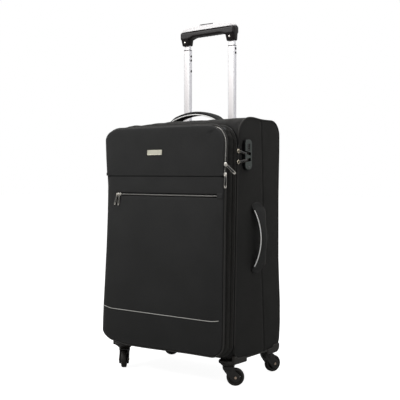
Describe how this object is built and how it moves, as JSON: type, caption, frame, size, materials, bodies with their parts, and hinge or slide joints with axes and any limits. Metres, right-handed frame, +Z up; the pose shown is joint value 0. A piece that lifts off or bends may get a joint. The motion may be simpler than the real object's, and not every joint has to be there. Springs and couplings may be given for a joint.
{
  "type": "softside suitcase",
  "caption": "Upright softside fabric suitcase with a zipped front lid, front pockets, telescopic trolley handle, combination lock, carry handles and swivel casters.",
  "frame": {"origin": "centre of the overall footprint, on the floor under the wheels", "axes": "+Z up, -Y towards the lid (front), +X towards the side with the lock and the side handle"},
  "size_m": [0.4564, 0.2926, 0.9848],
  "materials": {
    "shell_fabric": "woven polyester, matt",
    "gusset_fabric": "woven polyester, matt",
    "pocket_fabric": "fine twill polyester",
    "flap_fabric": "fine twill polyester",
    "handle_fabric": "padded polyester with webbing",
    "trim_plastic": "fine moulded texture",
    "caster_plastic": "moulded nylon",
    "wheel_tyre": "moulded polyurethane",
    "axle_steel": "bronzed rivet",
    "board": "extruded stiffener board",
    "spring_wire": "spring steel",
    "tube_aluminium": "satin anodised",
    "lock_plastic": "glossy moulded",
    "dial_plastic": "moulded",
    "main_zip": "nylon coil",
    "pocket_zip": "metallised nylon coil",
    "hardware_nickel": "nickel plated zinc",
    "badge_metal": "champagne brushed plate",
    "grip_plastic": "moulded",
    "grip_cover": "satin silver",
    "button_plastic": "moulded"
  },
  "bodies": {
    "case": {"side_panel_right": "shell_fabric", "side_panel_left": "shell_fabric", "wrap_panel": "shell_fabric", "base_tray": "trim_plastic", "back_board": "board", "opening_frame": "spring_wire", "outer_tube_left": "tube_aluminium", "outer_tube_right": "tube_aluminium", "trolley_bezel": "trim_plastic", "trolley_foot_bracket": "trim_plastic", "top_carry_handle": "handle_fabric", "side_carry_handle": "handle_fabric", "lock_body": "lock_plastic", "main_zip_chain": "main_zip", "main_slider_upper": "hardware_nickel", "main_slider_lower": "hardware_nickel", "corner_guard_front_right": "trim_plastic", "corner_guard_front_left": "trim_plastic", "corner_guard_rear_right": "trim_plastic", "corner_guard_rear_left": "trim_plastic"},
    "lid": {"lid_gusset": "gusset_fabric", "lid_board": "board", "lower_pocket_panel": "pocket_fabric", "front_zip_chain": "pocket_zip", "upper_zip_chain": "pocket_zip", "slit_slider_left": "hardware_nickel"},
    "flap": {"upper_pocket_flap": "flap_fabric", "badge_plate": "badge_metal"},
    "trolley_mid": {"mid_tube_left": "tube_aluminium", "mid_tube_right": "tube_aluminium"},
    "trolley_grip": {"inner_tube_left": "tube_aluminium", "inner_tube_right": "tube_aluminium", "grip_body": "grip_plastic", "grip_cover": "grip_cover"},
    "grip_button": {"grip_button": "button_plastic"},
    "pocket_slider_upper": {"pocket_slider_upper": "hardware_nickel"},
    "pocket_slider_lower": {"pocket_slider_lower": "hardware_nickel"},
    "slit_slider_right": {"slit_slider_right": "hardware_nickel"},
    "pocket_pull_upper": {"pocket_pull_upper": "hardware_nickel"},
    "pocket_pull_lower": {"pocket_pull_lower": "hardware_nickel"},
    "slit_pull_left": {"slit_pull_left": "hardware_nickel"},
    "slit_pull_right": {"slit_pull_right": "hardware_nickel"},
    "main_pull_upper": {"main_pull_upper": "hardware_nickel"},
    "main_pull_lower": {"main_pull_lower": "hardware_nickel"},
    "lock_dial_1": {"lock_dial_1": "dial_plastic"},
    "lock_dial_2": {"lock_dial_2": "dial_plastic"},
    "lock_dial_3": {"lock_dial_3": "dial_plastic"},
    "lock_button": {"lock_release_button": "dial_plastic"},
    "caster_front_right": {"caster_fork_front_right": "caster_plastic", "caster_axle_front_right": "axle_steel"},
    "wheel_front_right": {"caster_wheel_front_right": "wheel_tyre"},
    "caster_front_left": {"caster_fork_front_left": "caster_plastic", "caster_axle_front_left": "axle_steel"},
    "wheel_front_left": {"caster_wheel_front_left": "wheel_tyre"},
    "caster_rear_right": {"caster_fork_rear_right": "caster_plastic", "caster_axle_rear_right": "axle_steel"},
    "wheel_rear_right": {"caster_wheel_rear_right": "wheel_tyre"},
    "caster_rear_left": {"caster_fork_rear_left": "caster_plastic", "caster_axle_rear_left": "axle_steel"},
    "wheel_rear_left": {"caster_wheel_rear_left": "wheel_tyre"}
  },
  "joints": [
    {"name": "lid_hinge", "type": "hinge", "parent": "case", "child": "lid", "pos_m": [-0.2261, -0.08719, 0.4], "axis": [0, -0.03, -0.9996], "range_deg": [0, 170]},
    {"name": "flap_hinge", "type": "hinge", "parent": "lid", "child": "flap", "pos_m": [-0.0136, -0.1357, 0.5496], "axis": [1, 0, 0], "range_deg": [0, 95]},
    {"name": "trolley_mid_slide", "type": "slide", "parent": "case", "child": "trolley_mid", "axis": [0, 0, 1], "range_m": [-0.205, 0]},
    {"name": "trolley_inner_slide", "type": "slide", "parent": "trolley_mid", "child": "trolley_grip", "axis": [0, 0, 1], "range_m": [-0.01, 0.11]},
    {"name": "grip_button_press", "type": "slide", "parent": "trolley_grip", "child": "grip_button", "axis": [0, 0, -1], "range_m": [0, 0.004], "stiffness_N_per_m": 900},
    {"name": "pocket_slider_upper_slide", "type": "slide", "parent": "lid", "child": "pocket_slider_upper", "axis": [0, 0.03, 0.9996], "range_m": [0, 0.048]},
    {"name": "pocket_slider_lower_slide", "type": "slide", "parent": "lid", "child": "pocket_slider_lower", "axis": [0, 0.03, 0.9996], "range_m": [0, 0.016]},
    {"name": "slit_slider_right_slide", "type": "slide", "parent": "lid", "child": "slit_slider_right", "axis": [1, 0, 0], "range_m": [0, 0.33]},
    {"name": "pocket_pull_upper_swing", "type": "hinge", "parent": "pocket_slider_upper", "child": "pocket_pull_upper", "pos_m": [0.2004, -0.13579, 0.58], "axis": [-0.4893, -0.5105, -0.7071], "range_deg": [0, 150]},
    {"name": "pocket_pull_lower_swing", "type": "hinge", "parent": "pocket_slider_lower", "child": "pocket_pull_lower", "pos_m": [0.2004, -0.13657, 0.554], "axis": [-0.7073, -0.7066, 0.0212], "range_deg": [0, 150]},
    {"name": "slit_pull_left_swing", "type": "hinge", "parent": "lid", "child": "slit_pull_left", "pos_m": [-0.1721, -0.13684, 0.4985], "axis": [-1, 0, 0], "range_deg": [0, 120]},
    {"name": "slit_pull_right_swing", "type": "hinge", "parent": "slit_slider_right", "child": "slit_pull_right", "pos_m": [-0.1636, -0.13684, 0.4985], "axis": [-1, 0, 0], "range_deg": [0, 120]},
    {"name": "main_pull_upper_swing", "type": "hinge", "parent": "case", "child": "main_pull_upper", "pos_m": [0.2038, -0.08027, 0.614], "axis": [0, -0.1564, -0.9877], "range_deg": [0, 100]},
    {"name": "main_pull_lower_swing", "type": "hinge", "parent": "case", "child": "main_pull_lower", "pos_m": [0.2038, -0.08111, 0.586], "axis": [0, 0.1564, -0.9877], "range_deg": [0, 100]},
    {"name": "lock_dial_1_turn", "type": "hinge", "parent": "case", "child": "lock_dial_1", "pos_m": [0.2048, -0.04469, 0.631], "axis": [0, 0, 1], "continuous": true},
    {"name": "lock_dial_2_turn", "type": "hinge", "parent": "case", "child": "lock_dial_2", "pos_m": [0.2048, -0.04469, 0.6245], "axis": [0, 0, 1], "continuous": true},
    {"name": "lock_dial_3_turn", "type": "hinge", "parent": "case", "child": "lock_dial_3", "pos_m": [0.2048, -0.04469, 0.618], "axis": [0, 0, 1], "continuous": true},
    {"name": "lock_button_press", "type": "slide", "parent": "case", "child": "lock_button", "axis": [-1, 0, 0], "range_m": [0, 0.002], "stiffness_N_per_m": 600},
    {"name": "swivel_front_right", "type": "hinge", "parent": "case", "child": "caster_front_right", "pos_m": [0.1704, -0.08019, 0.0524], "axis": [0, 0, 1], "continuous": true},
    {"name": "wheel_spin_front_right", "type": "hinge", "parent": "caster_front_right", "child": "wheel_front_right", "pos_m": [0.18472, -0.06928, 0.0235], "axis": [-0.606, 0.7955, 0], "continuous": true},
    {"name": "swivel_front_left", "type": "hinge", "parent": "case", "child": "caster_front_left", "pos_m": [-0.1976, -0.08019, 0.0524], "axis": [0, 0, 1], "continuous": true},
    {"name": "wheel_spin_front_left", "type": "hinge", "parent": "caster_front_left", "child": "wheel_front_left", "pos_m": [-0.18669, -0.09451, 0.0235], "axis": [0.7955, 0.606, 0], "continuous": true},
    {"name": "swivel_rear_right", "type": "hinge", "parent": "case", "child": "caster_rear_right", "pos_m": [0.1704, 0.10631, 0.0524], "axis": [0, 0, 1], "continuous": true},
    {"name": "wheel_spin_rear_right", "type": "hinge", "parent": "caster_rear_right", "child": "wheel_rear_right", "pos_m": [0.17735, 0.12292, 0.0235], "axis": [-0.9225, 0.3859, 0], "continuous": true},
    {"name": "swivel_rear_left", "type": "hinge", "parent": "case", "child": "caster_rear_left", "pos_m": [-0.1976, 0.10631, 0.0524], "axis": [0, 0, 1], "continuous": true},
    {"name": "wheel_spin_rear_left", "type": "hinge", "parent": "caster_rear_left", "child": "wheel_rear_left", "pos_m": [-0.18381, 0.11788, 0.0235], "axis": [-0.6428, 0.766, 0], "continuous": true}
  ]
}
